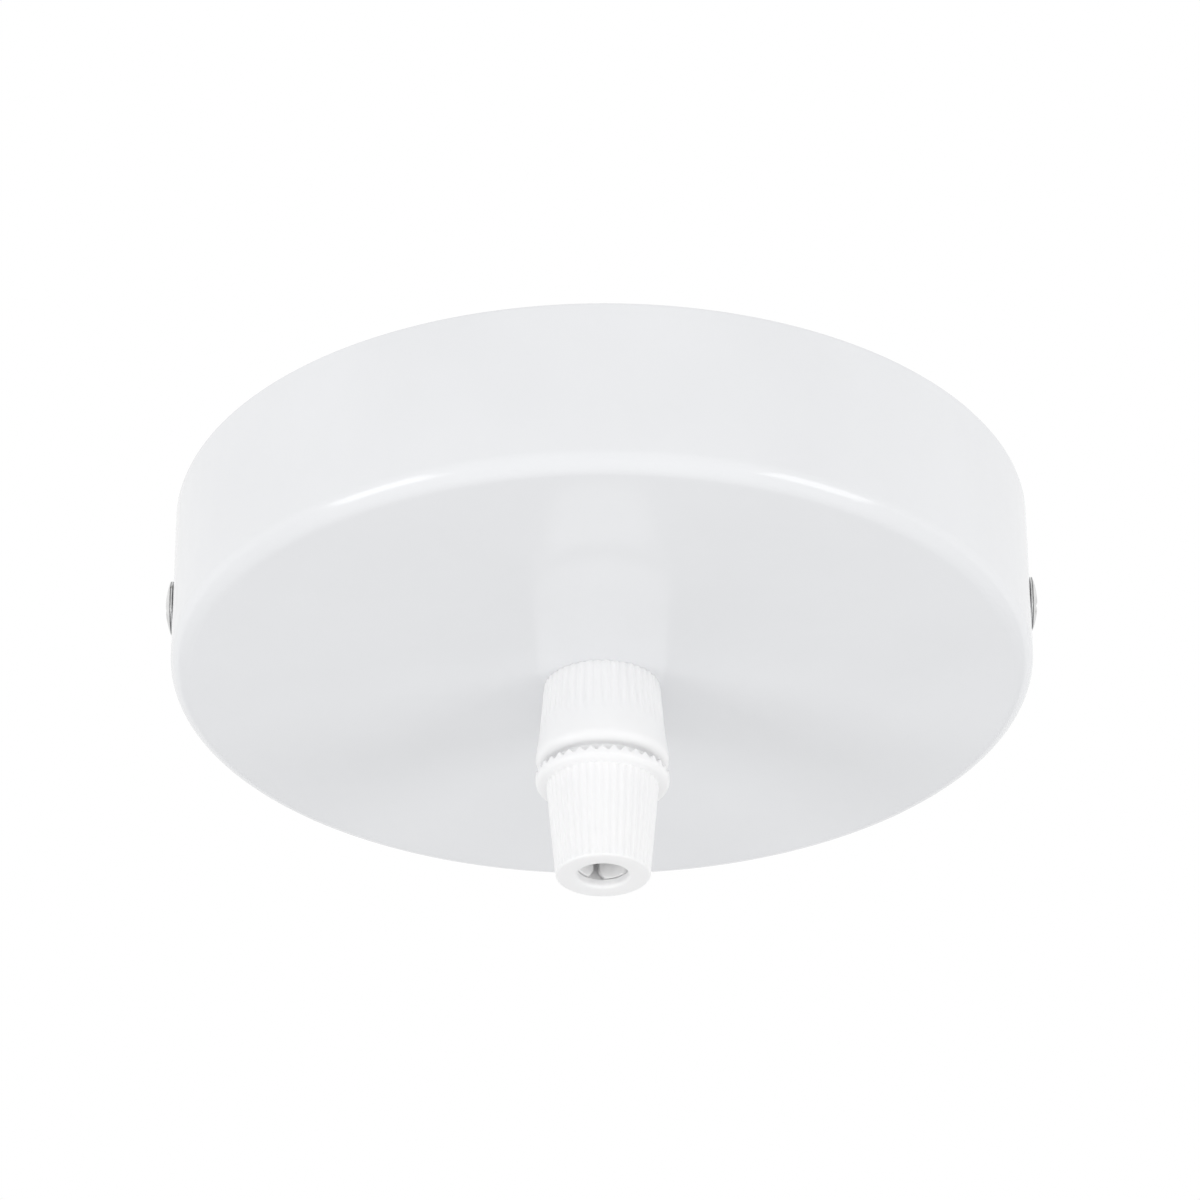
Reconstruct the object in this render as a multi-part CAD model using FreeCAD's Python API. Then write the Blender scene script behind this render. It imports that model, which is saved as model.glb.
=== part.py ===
"""Ceiling rose with a screwed cord grip, in millimetres.

The ceiling is the plane z = 0, +Z points up into it, and the rose hangs below on the Z axis.
The two side screws lie on the X axis.
"""
import FreeCAD
import Part
import math
import os

# Canopy: a cup drawn from sheet steel
canopy_d = 120.0
canopy_h = 25.0
canopy_sheet = 0.8
canopy_edge_r = 2.4

# Ceiling bracket: a folded strap with a tapped ear at each end
strap_t = 1.5
strap_w = 20.0
fold_r = 2.5
ear_w = 13.0
ear_drop = 18.0
ear_corner_r = 3.0
ear_gap = 0.3
ear_collar_wall = 1.1
ear_collar_len = 1.4
slot_spacing = 50.8
slot_len = 14.0
slot_w = 5.0
cable_hole_d = 13.0

# Earth point: a tab folded down from one edge of the strap
tab_inset = 18.0
tab_w = 11.0
tab_drop = 13.5
tab_screw_drop = 8.0

# Side screws, thread M4, with a thin washer under each head
side_screw_drop = 12.0
side_screw_d = 4.0
side_screw_len = 6.5
side_head_d = 7.6
side_head_h = 0.9
side_head_rim = 0.1
side_slot_w = 1.2
side_slot_depth = 0.6
side_slot_turn_right = 136.5
side_slot_turn_left = 35.0
side_washer_t = 0.25

# Cord grip body: tail, ribbed collar and threaded stem in one moulding
tail_d = 10.0
tail_len = 8.5
cord_way_d = 7.2
collar_h = 12.7
collar_top_r = 8.1
collar_waist_r = 8.7
collar_lip_r = 9.2
collar_waist_drop = 7.5
collar_lip_drop = 11.0
collar_lip_edge = 1.3
spigot_h = 0.75
spigot_clear = 0.25
flute_count = 42
flute_overlap = 1.03
flute_depth = 0.27
flute_run_out = 1.4
stem_d = 11.6
stem_len = 8.8
key_count = 2
key_w = 1.8

# Cord grip cap: toothed flange and ribbed cone
cap_gap = 1.1
cap_h = 15.5
flange_r = 9.25
flange_t = 1.2
flange_edge = 0.6
tooth_count = 36
tooth_h = 0.6
tooth_ring_t = 1.7
tooth_land = 0.12
cone_top_r = 7.75
cone_end_r = 6.5
mouth_r = 3.5
lip_t = 1.2
lip_edge = 0.5
seat_top_r = 5.5
seat_end_r = 3.95

# Split collet that the cap closes on the cord
collet_bore_d = 6.4
collet_wall = 1.3
collet_top_clear = 1.5
key_drop = 1.4
key_h = 2.5
key_out = 1.0
slit_count = 4
slit_w = 0.95
slit_flare = 0.5
slit_turn = 15.7
slit_top_drop = 5.4
jaw_gap = 0.15

# Lock nut and toothed washer on the tail, inside the canopy
nut_flats = 14.0
nut_t = 3.0
lock_washer_t = 0.7
lock_washer_d = 16.8
lock_tooth_len = 1.2
lock_tooth_count = 12

# Terminal block under the strap and as long as its width, with a square brass insert for each pole
pole_count = 2
block_w = 17.0
block_base_h = 7.6
block_gap = 2.5
block_corner_r = 1.2
chimney_side = 5.6
chimney_h = 5.0
chimney_hole_d = 3.2
chimney_spread = 9.0
insert_side = 4.8
insert_len = 15.0
wire_way_d = 3.2
clamp_screw_d = 2.5
clamp_screw_len = 6.3
clamp_slot_w = 0.7
clamp_slot_depth = 0.9
clamp_slot_turn = 30.0
fixing_screw_d = 3.0
fixing_head_d = 5.2
fixing_head_h = 1.7
fixing_slot_w = 0.9
fixing_slot_turn = 60.0

# Earth screw, thread M4, and its washer
earth_screw_d = 4.0
earth_screw_len = 7.0
earth_head_d = 7.0
earth_head_h = 2.2
earth_slot_w = 1.1
earth_slot_turn = 0.0
earth_washer_d = 9.0
earth_washer_t = 0.8

# Clearances
thread_clear = 0.05
hole_clear = 0.2
slide_clear = 0.1
seat_clear = 0.05
end_clear = 1.6

os.makedirs("parts", exist_ok=True)

UP = FreeCAD.Vector(0, 0, 1)
ALONG_X = FreeCAD.Vector(1, 0, 0)
ALONG_Y = FreeCAD.Vector(0, 1, 0)
ORIGIN = FreeCAD.Vector(0, 0, 0)


def corner_arc(points, i):
    """Start, middle and end of the arc that rounds corner i of (x, z, corner radius) points."""
    x, z, radius = points[i]
    next_x, next_z, _ = points[(i + 1) % len(points)]
    here = FreeCAD.Vector(x, 0, z)
    back = (FreeCAD.Vector(points[i - 1][0], 0, points[i - 1][1]) - here).normalize()
    ahead = (FreeCAD.Vector(next_x, 0, next_z) - here).normalize()
    half = back.getAngle(ahead) / 2
    reach = radius / math.tan(half)
    middle = here + (back + ahead).normalize() * (radius / math.sin(half) - radius)
    return here + back * reach, middle, here + ahead * reach


def rounded(points):
    """Closed wire in the XZ plane through (x, z, corner radius) points, each arc in two halves."""
    stops = []
    for i, (x, z, radius) in enumerate(points):
        here = FreeCAD.Vector(x, 0, z)
        stops.append(corner_arc(points, i) if radius else (here, None, here))
    edges = []
    for i, (start, middle, end) in enumerate(stops):
        if middle:
            whole = Part.Arc(start, middle, end)
            first, last = whole.FirstParameter, whole.LastParameter
            half = (first + last) / 2
            edges.append(whole.toShape(first, half))
            edges.append(whole.toShape(half, last))
        following = stops[(i + 1) % len(stops)][0]
        if (following - end).Length > 1e-6:
            edges.append(Part.makeLine(end, following))
    return Part.Wire(edges)


def eased(points):
    """The same outline with each rounded corner drawn as two short flats."""
    plain = []
    for i, (x, z, radius) in enumerate(points):
        if radius:
            plain += [(stop.x, stop.z, 0) for stop in corner_arc(points, i)]
        else:
            plain.append((x, z, 0))
    return plain


def solid(shape):
    """The shape as one clean solid with its faces outwards."""
    clean = shape.removeSplitter()
    clean = clean.Solids[0] if len(clean.Solids) == 1 else clean
    if clean.Volume < 0:
        clean.reverse()
    return clean


def turned(points):
    """Solid turned about the Z axis from an outline of (r, z, corner radius) points."""
    whole = Part.Face(rounded(points)).revolve(ORIGIN, UP, 360).Solids[0]
    if whole.Volume < 0:
        whole.reverse()
    return whole


def extruded(points, width, y_start):
    """Solid of an outline in the XZ plane, pulled along Y from y_start."""
    face = Part.Face(rounded(points))
    face.translate(ALONG_Y * y_start)
    return solid(face.extrude(ALONG_Y * width))


def rod(radius, length, start, direction):
    """Plain round rod."""
    return Part.makeCylinder(radius, length, start, direction)


def block(x0, x1, y0, y1, z0, z1):
    """Box between two corners."""
    return Part.makeBox(x1 - x0, y1 - y0, z1 - z0, FreeCAD.Vector(x0, y0, z0))


def spun(shape, angle, axis=UP, centre=ORIGIN):
    """Copy of a shape turned about an axis."""
    copy = shape.copy()
    copy.rotate(centre, axis, angle)
    return copy


def moved(shape, x, y, z):
    """Copy of a shape moved."""
    copy = shape.copy()
    copy.translate(FreeCAD.Vector(x, y, z))
    return copy


def ring(shape, count, first=0.0):
    """Copies of a shape spread evenly round the Z axis."""
    return [spun(shape, first + 360.0 * i / count) for i in range(count)]


def keep(shape, name):
    """Write one node."""
    shape.exportStep("parts/" + name + ".step")


def flute_cutter(cone, start_z, run_z, stop_z):
    """V-shaped cutter beside the X axis for a cone through two (r, z) points.

    Its sides aim at the point of the cone, so they leave straight edges on it. The bottom ends
    at run_z and the open side at stop_z, which makes a sloping end.
    """
    (r0, z0), (r1, z1) = cone
    point_z = z0 + (z1 - z0) * r0 / (r0 - r1)

    def at(radius, y, z):
        share = (z - point_z) / (z0 - point_z)
        return FreeCAD.Vector(radius * share, y * share, z)

    deep = r0 - flute_depth
    wide = r0 + 2 * flute_depth
    half = 3 * flute_overlap * math.pi * r0 / flute_count
    bottom = [at(deep, 0, start_z), at(deep, 0, run_z)]
    left = [at(wide, -half, start_z), at(wide, -half, stop_z)]
    right = [at(wide, half, start_z), at(wide, half, stop_z)]
    outlines = [
        [bottom[0], left[0], right[0]],
        [bottom[1], left[1], right[1]],
        [bottom[0], bottom[1], left[1], left[0]],
        [bottom[0], bottom[1], right[1], right[0]],
        [left[0], left[1], right[1], right[0]],
    ]
    faces = [Part.Face(Part.makePolygon(outline + outline[:1])) for outline in outlines]
    return solid(Part.Solid(Part.Shell(faces)))


def slotted_screw(d, length, head_d, head_h, rim_h, slot_w, slot_depth, slot_turn):
    """Slotted screw on the Z axis, head up, with the underside of its head at z = 0."""
    head_r = head_d / 2
    rise = head_h - rim_h
    crown = [(head_r * step, rim_h + rise * (1 - step**2), 0) for step in (1.0, 0.6)]
    body = turned([
        (0, -length, 0),
        (d / 2, -length, 0),
        (d / 2, 0, 0),
        (head_r, 0, 0),
        *(crown if rise else crown[:1]),
        (0, head_h, 0),
    ])
    slot = block(-head_r, head_r, -slot_w / 2, slot_w / 2, head_h - slot_depth, head_h + 1)
    return solid(body.cut(spun(slot, slot_turn)))


def flat_washer(outer_d, hole_d, thickness):
    """Plain washer on the Z axis, lying on z = 0."""
    return turned([
        (hole_d / 2, 0, 0),
        (outer_d / 2, 0, 0),
        (outer_d / 2, thickness, 0),
        (hole_d / 2, thickness, 0),
    ])


# Levels and radii that follow from the sizes above
canopy_r = canopy_d / 2
inner_r = canopy_r - canopy_sheet
face_z = -canopy_h
floor_z = face_z + canopy_sheet
tail_r = tail_d / 2
cord_way_r = cord_way_d / 2
collar_z = face_z - collar_h
stem_r = stem_d / 2
crown_r = flange_r - tooth_ring_t
spigot_r = crown_r - spigot_clear
stem_end_z = collar_z - stem_len
cap_top_z = collar_z - cap_gap
valley_z = cap_top_z - tooth_h
flange_z = valley_z - flange_t
cap_end_z = cap_top_z - cap_h
lip_z = cap_end_z + lip_t
bore_end_z = stem_end_z - end_clear
collet_r = collet_bore_d / 2
sleeve_r = collet_r + collet_wall
socket_r = sleeve_r + slide_clear
collet_top_z = collar_z - collet_top_clear
jaw_tip_z = lip_z + jaw_gap
jaw_top_z = bore_end_z - jaw_gap
ear_x = math.sqrt(inner_r**2 - (ear_w / 2) ** 2) - ear_gap
tab_x = tab_inset - ear_x
screw_tap_r = side_screw_d / 2 + thread_clear
washer_x = canopy_r + seat_clear
screw_x = washer_x + side_washer_t + seat_clear
block_x = screw_x - side_screw_len - block_gap - block_w / 2
pole_pitch = strap_w / pole_count

# Canopy: the outer edge is a true round, the inner edge follows it in two flats
inner_edge = eased([
    (inner_r, 0, 0),
    (inner_r, floor_z, canopy_edge_r - canopy_sheet),
    (tail_r + hole_clear, floor_z, 0),
])
canopy = turned([
    (tail_r + hole_clear, face_z, 0),
    (canopy_r, face_z, canopy_edge_r),
    (canopy_r, 0, 0),
] + inner_edge)
side_hole = rod(
    side_screw_d / 2 + hole_clear, 2 * canopy_r + 2,
    FreeCAD.Vector(-canopy_r - 1, 0, -side_screw_drop), ALONG_X)
canopy = canopy.cut(side_hole).Solids[0]
keep(canopy, "canopy")

# Ceiling bracket: the folded section first, then its plan outline, ear collars and holes
fold_in = fold_r - strap_t
bracket = extruded([
    (-ear_x, -ear_drop, 0),
    (-ear_x, 0, fold_r),
    (ear_x, 0, fold_r),
    (ear_x, -ear_drop, 0),
    (ear_x - strap_t, -ear_drop, 0),
    (ear_x - strap_t, -strap_t, fold_in),
    (strap_t - ear_x, -strap_t, fold_in),
    (strap_t - ear_x, -ear_drop, 0),
], strap_w, -strap_w / 2)
shoulder_x = ear_x - fold_r - 3 * ear_corner_r
plan = Part.Face(rounded([
    (-ear_x - 1, -ear_w / 2, 0),
    (-shoulder_x - ear_corner_r, -ear_w / 2, 0),
    (-shoulder_x, -strap_w / 2, 0),
    (shoulder_x, -strap_w / 2, 0),
    (shoulder_x + ear_corner_r, -ear_w / 2, 0),
    (ear_x + 1, -ear_w / 2, 0),
    (ear_x + 1, ear_w / 2, 0),
    (shoulder_x + ear_corner_r, ear_w / 2, 0),
    (shoulder_x, strap_w / 2, 0),
    (-shoulder_x, strap_w / 2, 0),
    (-shoulder_x - ear_corner_r, ear_w / 2, 0),
    (-ear_x - 1, ear_w / 2, 0),
]))
plan.rotate(ORIGIN, ALONG_X, -90)
plan.translate(UP)
bracket = bracket.common(plan.extrude(UP * (-ear_drop - 2)))
ear_end = Part.Face(rounded([
    (-ear_w / 2, -ear_drop, ear_corner_r),
    (ear_w / 2, -ear_drop, ear_corner_r),
    (ear_w / 2 + strap_w, 1, 0),
    (-ear_w / 2 - strap_w, 1, 0),
]))
ear_end.rotate(ORIGIN, UP, 90)
ear_end.translate(ALONG_X * (-ear_x - 1))
bracket = bracket.common(ear_end.extrude(ALONG_X * (2 * ear_x + 2)))
tab = extruded([
    (strap_w / 2, 0, 0),
    (strap_w / 2 + fold_r, 0, fold_r - 0.01),
    (strap_w / 2 + fold_r, -tab_drop, 0),
    (strap_w / 2 + fold_in, -tab_drop, 0),
    (strap_w / 2 + fold_in, -strap_t, fold_in - 0.01),
    (strap_w / 2, -strap_t, 0),
], tab_w, -tab_w / 2)
tab = moved(spun(tab, 90), tab_x, 0, 0)
tab_y = strap_w / 2 + fold_r
bracket = bracket.fuse(tab)
for side in (-1, 1):
    collar = rod(
        screw_tap_r + ear_collar_wall, ear_collar_len,
        FreeCAD.Vector(side * (ear_x - strap_t), 0, -side_screw_drop), ALONG_X * -side)
    bracket = bracket.fuse(collar)
slot_run = slot_len - slot_w
fixing_y = (pole_count - 2) * pole_pitch / 2
holes = [
    rod(screw_tap_r, 2 * ear_x + 2, FreeCAD.Vector(-ear_x - 1, 0, -side_screw_drop), ALONG_X),
    rod(cable_hole_d / 2, strap_t + 2, FreeCAD.Vector(0, 0, 1), -UP),
    rod(
        earth_screw_d / 2 + thread_clear, fold_r + 2,
        FreeCAD.Vector(tab_x, tab_y + 1, -tab_screw_drop), -ALONG_Y),
    rod(
        fixing_screw_d / 2 + thread_clear, strap_t + 2,
        FreeCAD.Vector(block_x, fixing_y, 1), -UP),
]
for side in (-1, 1):
    centre = side * slot_spacing / 2
    for end in (-1, 1):
        holes.append(rod(
            slot_w / 2, strap_t + 2, FreeCAD.Vector(centre + end * slot_run / 2, 0, 1), -UP))
    holes.append(block(
        centre - slot_run / 2, centre + slot_run / 2, -slot_w / 2, slot_w / 2, -strap_t - 1, 1))
bracket = solid(bracket.cut(holes))
keep(bracket, "ceiling_bracket")

# Side screws and their washers
for name, side, slot_turn in (
    ("left", -1, side_slot_turn_left),
    ("right", 1, side_slot_turn_right),
):
    washer = flat_washer(side_head_d, side_screw_d + 2 * hole_clear, side_washer_t)
    washer = spun(washer, 90 * side, ALONG_Y)
    keep(moved(washer, side * washer_x, 0, -side_screw_drop), "side_washer_" + name)
    screw = slotted_screw(
        side_screw_d, side_screw_len, side_head_d, side_head_h, side_head_rim,
        side_slot_w, side_slot_depth, slot_turn)
    screw = spun(screw, 90 * side, ALONG_Y)
    keep(moved(screw, side * screw_x, 0, -side_screw_drop), "side_screw_" + name)

# Cord grip body: turned form, then the flutes that fade out above the lip and the key ways
collar_lip = eased([
    (collar_lip_r, face_z - collar_lip_drop, 0),
    (collar_lip_r, collar_z, collar_lip_edge),
    (spigot_r, collar_z, 0),
])
grip = turned([
    (cord_way_r, face_z + tail_len, 0),
    (tail_r, face_z + tail_len, 0),
    (tail_r, face_z, 0),
    (collar_top_r, face_z, 0),
    (collar_waist_r, face_z - collar_waist_drop, 0),
    *collar_lip,
    (spigot_r, collar_z - spigot_h, 0),
    (stem_r, collar_z - spigot_h, 0),
    (stem_r, stem_end_z, 0),
    (socket_r, stem_end_z, 0),
    (socket_r, collar_z - slide_clear, 0),
    (cord_way_r, collar_z - slide_clear, 0),
])
collar_cone = ((collar_top_r, face_z), (collar_waist_r, face_z - collar_waist_drop))
run_z = face_z - collar_waist_drop + flute_run_out
flute = flute_cutter(collar_cone, face_z + flute_run_out, run_z, run_z - 3 * flute_run_out)
grip = grip.cut(ring(flute, flute_count, 90.0))
key_top_z = collet_top_z - key_drop
key_way = block(
    socket_r - 1, stem_r + 1, -key_w / 2 - slide_clear, key_w / 2 + slide_clear,
    stem_end_z - 1, key_top_z + end_clear)
grip = solid(grip.cut(ring(key_way, key_count)))
keep(grip, "grip_body")

# Cord grip cap: turned form, crown teeth on the flange, then the flutes down the cone
cap_bore_r = stem_r + slide_clear
cap = turned([
    (cap_bore_r, valley_z, 0),
    (crown_r, valley_z, 0),
    (crown_r, cap_top_z, 0),
    (flange_r, cap_top_z, 0),
    (flange_r, flange_z + flange_edge, 0),
    (flange_r - flange_edge, flange_z, 0),
    (cone_top_r, flange_z, 0),
    (cone_end_r, cap_end_z, 0),
    (mouth_r + lip_edge, cap_end_z, 0),
    (mouth_r, cap_end_z + lip_edge, 0),
    (mouth_r, lip_z, 0),
    (seat_end_r, lip_z, 0),
    (seat_top_r, bore_end_z, 0),
    (cap_bore_r, bore_end_z, 0),
])
half_tooth = math.pi * flange_r / tooth_count
notch = extruded([
    (tooth_land - half_tooth, cap_top_z, 0),
    (0, valley_z, 0),
    (half_tooth - tooth_land, cap_top_z, 0),
    (half_tooth - tooth_land, cap_top_z + 1, 0),
    (tooth_land - half_tooth, cap_top_z + 1, 0),
], flange_r, crown_r - 1)
cap = cap.cut(ring(notch, tooth_count, 180.0 / tooth_count))
cone = ((cone_top_r, flange_z), (cone_end_r, cap_end_z))
cone_flute = flute_cutter(cone, flange_z - seat_clear, cap_end_z - 1, cap_end_z - 1)
cap = solid(cap.cut(ring(cone_flute, flute_count, 90.0)))
keep(cap, "grip_cap")

# Collet: sleeve with two keys, jaws that follow the cap's seat, flared slits
seat_slope = (seat_top_r - seat_end_r) / (bore_end_z - lip_z)
jaw_end_r = seat_end_r + seat_slope * (jaw_tip_z - lip_z) - jaw_gap
jaw_wide_r = seat_end_r + seat_slope * (jaw_top_z - lip_z) - jaw_gap
collet = turned([
    (collet_r, collet_top_z, 0),
    (sleeve_r, collet_top_z, 0),
    (sleeve_r, jaw_top_z + (jaw_wide_r - sleeve_r), 0),
    (jaw_wide_r, jaw_top_z, 0),
    (jaw_end_r, jaw_tip_z, 0),
    (collet_r, jaw_tip_z, 0),
])
key = block(
    sleeve_r - collet_wall / 2, sleeve_r + key_out, -key_w / 2, key_w / 2,
    key_top_z - key_h, key_top_z)
collet = collet.fuse(ring(key, key_count))
slit = extruded([
    (-slit_w / 2, collet_top_z - slit_top_drop, 0),
    (slit_w / 2, collet_top_z - slit_top_drop, 0),
    (slit_w / 2, jaw_tip_z + 2 * slit_flare, 0),
    (slit_w / 2 + 2 * slit_flare, jaw_tip_z - slit_flare, 0),
    (-slit_w / 2 - 2 * slit_flare, jaw_tip_z - slit_flare, 0),
    (-slit_w / 2, jaw_tip_z + 2 * slit_flare, 0),
], jaw_wide_r + 1, 0)
collet = solid(collet.cut(ring(slit, slit_count, slit_turn)))
keep(collet, "grip_collet")

# Lock washer and lock nut on the tail
lock_ring = flat_washer(lock_washer_d, tail_d + 2 * hole_clear, lock_washer_t)
lock_notch_w = 0.5 * math.pi * lock_washer_d / lock_tooth_count
lock_notch = block(
    lock_washer_d / 2 - lock_tooth_len, lock_washer_d, -lock_notch_w / 2, lock_notch_w / 2,
    -1, lock_washer_t + 1)
lock_ring = solid(lock_ring.cut(ring(lock_notch, lock_tooth_count)))
keep(moved(lock_ring, 0, 0, floor_z), "lock_washer")
nut_corner_r = nut_flats / math.sqrt(3)
nut_corner = FreeCAD.Vector(nut_corner_r, 0, 0)
nut_outline = Part.makePolygon([
    FreeCAD.Rotation(UP, 60 * i).multVec(nut_corner) for i in range(7)])
nut = Part.Face(nut_outline).extrude(UP * nut_t)
nut = nut.cut(rod(tail_r + thread_clear, nut_t, ORIGIN, UP))
keep(moved(nut, 0, 0, floor_z + lock_washer_t), "lock_nut")

# Terminal block: base, two chimneys to a pole, insert ways and screw ways
base_z = -strap_t - block_base_h
chimney_z = base_z - chimney_h
insert_z = -strap_t - block_base_h / 2
pole_ys = [(i - (pole_count - 1) / 2) * pole_pitch for i in range(pole_count)]
clamp_xs = [block_x - chimney_spread / 2, block_x + chimney_spread / 2]
housing = block(
    block_x - block_w / 2, block_x + block_w / 2, -strap_w / 2, strap_w / 2, base_z, -strap_t)
housing = housing.makeFillet(
    block_corner_r, [e for e in housing.Edges if abs(e.tangentAt(e.FirstParameter).z) > 0.9])
way_half = insert_side / 2 + thread_clear
ways = []
for pole_y in pole_ys:
    ways.append(block(
        block_x - block_w, block_x + block_w, pole_y - way_half, pole_y + way_half,
        insert_z - way_half, insert_z + way_half))
    for clamp_x in clamp_xs:
        half = chimney_side / 2
        housing = housing.fuse(block(
            clamp_x - half, clamp_x + half, pole_y - half, pole_y + half, chimney_z, base_z))
        ways.append(rod(
            chimney_hole_d / 2, insert_z - chimney_z + 1,
            FreeCAD.Vector(clamp_x, pole_y, insert_z), -UP))
ways.append(rod(
    fixing_screw_d / 2 + hole_clear, block_base_h + 2,
    FreeCAD.Vector(block_x, fixing_y, -strap_t + 1), -UP))
housing = solid(housing.cut(ways))
keep(housing, "terminal_block")

# Brass inserts and their clamp screws, backed off so that the wire way is clear
clamp_tap_r = clamp_screw_d / 2 + thread_clear
clamp_tip_z = insert_z - wire_way_d / 2 - seat_clear
clamp_screw = rod(clamp_screw_d / 2, clamp_screw_len, ORIGIN, -UP)
clamp_slot = block(
    -clamp_screw_d, clamp_screw_d, -clamp_slot_w / 2, clamp_slot_w / 2,
    -clamp_screw_len - 1, clamp_slot_depth - clamp_screw_len)
clamp_screw = solid(clamp_screw.cut(spun(clamp_slot, clamp_slot_turn)))
for pole, pole_y in enumerate(pole_ys):
    insert = block(
        block_x - insert_len / 2, block_x + insert_len / 2,
        pole_y - insert_side / 2, pole_y + insert_side / 2,
        insert_z - insert_side / 2, insert_z + insert_side / 2)
    insert = insert.cut(rod(
        wire_way_d / 2, insert_len,
        FreeCAD.Vector(block_x - insert_len / 2, pole_y, insert_z), ALONG_X))
    for end, clamp_x in enumerate(clamp_xs):
        insert = insert.cut(rod(
            clamp_tap_r, insert_side, FreeCAD.Vector(clamp_x, pole_y, insert_z), -UP))
        number = 2 * pole + end + 1
        keep(moved(clamp_screw, clamp_x, pole_y, clamp_tip_z), "terminal_screw_" + str(number))
    keep(solid(insert), "terminal_insert_" + str(pole + 1))

# Screw that holds the terminal block on the strap
fixing_screw = slotted_screw(
    fixing_screw_d, block_base_h + strap_t - 4 * seat_clear, fixing_head_d, fixing_head_h,
    fixing_head_h, fixing_slot_w, fixing_head_h / 2, fixing_slot_turn)
fixing_screw = spun(fixing_screw, 180, ALONG_X)
keep(moved(fixing_screw, block_x, fixing_y, base_z), "terminal_fixing_screw")

# Earth screw and washer on the tab
earth_washer = flat_washer(earth_washer_d, earth_screw_d + 2 * hole_clear, earth_washer_t)
earth_washer = spun(earth_washer, -90, ALONG_X)
keep(moved(earth_washer, tab_x, tab_y, -tab_screw_drop), "earth_washer")
earth_screw = slotted_screw(
    earth_screw_d, earth_screw_len, earth_head_d, earth_head_h, earth_head_h,
    earth_slot_w, earth_head_h / 2, earth_slot_turn)
earth_screw = spun(earth_screw, -90, ALONG_X)
keep(moved(earth_screw, tab_x, tab_y + earth_washer_t, -tab_screw_drop), "earth_screw")
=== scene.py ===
# %% [markdown]
# # A ceiling rose with a cord grip
# A ceiling rose covers the place where a lamp's cord leaves the ceiling. This one is a shallow
# cup of painted sheet steel. Two side screws hold it on a strap that is fixed to the ceiling, and
# a white plastic cord grip in the middle carries the weight of the lamp.
#
# The main sizes come from the CAD frame. Here each part gets the edges, ribs, threads and finishes
# that a buyer would see when it is held in the hand.

# %% Load the frame and keep its box
import math
import bpy
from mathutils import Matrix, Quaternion, Vector


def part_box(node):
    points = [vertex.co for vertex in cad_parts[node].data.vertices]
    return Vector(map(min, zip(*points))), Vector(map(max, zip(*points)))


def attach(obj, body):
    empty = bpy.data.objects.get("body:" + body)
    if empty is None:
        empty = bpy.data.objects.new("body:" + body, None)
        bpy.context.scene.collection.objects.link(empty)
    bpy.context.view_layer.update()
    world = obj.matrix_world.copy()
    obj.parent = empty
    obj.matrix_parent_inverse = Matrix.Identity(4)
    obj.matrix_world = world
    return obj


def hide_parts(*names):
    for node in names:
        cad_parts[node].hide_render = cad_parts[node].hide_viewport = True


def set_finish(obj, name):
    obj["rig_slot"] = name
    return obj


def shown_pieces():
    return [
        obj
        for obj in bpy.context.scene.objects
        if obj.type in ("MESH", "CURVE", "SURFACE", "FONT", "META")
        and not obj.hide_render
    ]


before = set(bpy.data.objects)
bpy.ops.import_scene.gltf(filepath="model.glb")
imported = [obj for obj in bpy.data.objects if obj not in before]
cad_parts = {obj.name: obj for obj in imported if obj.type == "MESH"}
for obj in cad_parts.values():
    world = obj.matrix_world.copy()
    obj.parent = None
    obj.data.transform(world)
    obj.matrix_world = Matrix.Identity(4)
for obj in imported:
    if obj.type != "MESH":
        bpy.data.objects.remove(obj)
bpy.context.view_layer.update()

MM = 0.001

# %% [markdown]
# ## Working by place
# A modeller picks points with the mouse. A script picks them by where they are: a test on a
# point's place says whether it is selected, and then the usual edit-mode operators do the work.

# %% Select one piece, or some of its points
def alone(piece):
    """Object mode, with only this piece selected and active."""
    if bpy.context.object and bpy.context.object.mode != "OBJECT":
        bpy.ops.object.mode_set(mode="OBJECT")
    bpy.ops.object.select_all(action="DESELECT")
    piece.select_set(True)
    bpy.context.view_layer.objects.active = piece


def pick(piece, test):
    """Edit mode, with the points selected whose place passes the test."""
    alone(piece)
    bpy.ops.object.mode_set(mode="EDIT")
    bpy.ops.mesh.select_mode(type="VERT")
    bpy.ops.mesh.select_all(action="DESELECT")
    bpy.ops.object.mode_set(mode="OBJECT")
    for point in piece.data.vertices:
        point.select = test(point.co)
    bpy.ops.object.mode_set(mode="EDIT")


def smooth(piece, angle=35):
    """Round faces shade smoothly, edges sharper than the angle stay crisp."""
    alone(piece)
    bpy.ops.object.shade_smooth_by_angle(angle=math.radians(angle))
    return piece


def report(piece):
    """Says what was made."""
    size = [round(side / MM, 2) for side in piece.dimensions]
    print(piece.name, "size in mm", size, "faces", len(piece.data.polygons))

# %% [markdown]
# ## Turning on the lathe
# The cup is spun or drawn, and the grip parts come out of round moulds, so most of the pieces are
# bodies of revolution. Spin could turn an outline too, but it leaves a seam to find and weld. Here
# one ring of points is pulled along the outline, ring by ring, with extrude and scale, and the last
# ring is merged with the first. An arc in the outline is a short run of points, so every rounded
# edge is real geometry and catches the light.

# %% Turn an outline into a closed piece
WELD = 0.008 * MM


def arc(r, z, radius, start, end, steps):
    """Points of an arc in an outline, from one angle to another, in degrees."""
    turns = [math.radians(start + (end - start) * i / steps) for i in range(steps + 1)]
    return [(r + radius * math.cos(a), z + radius * math.sin(a)) for a in turns]


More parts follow.
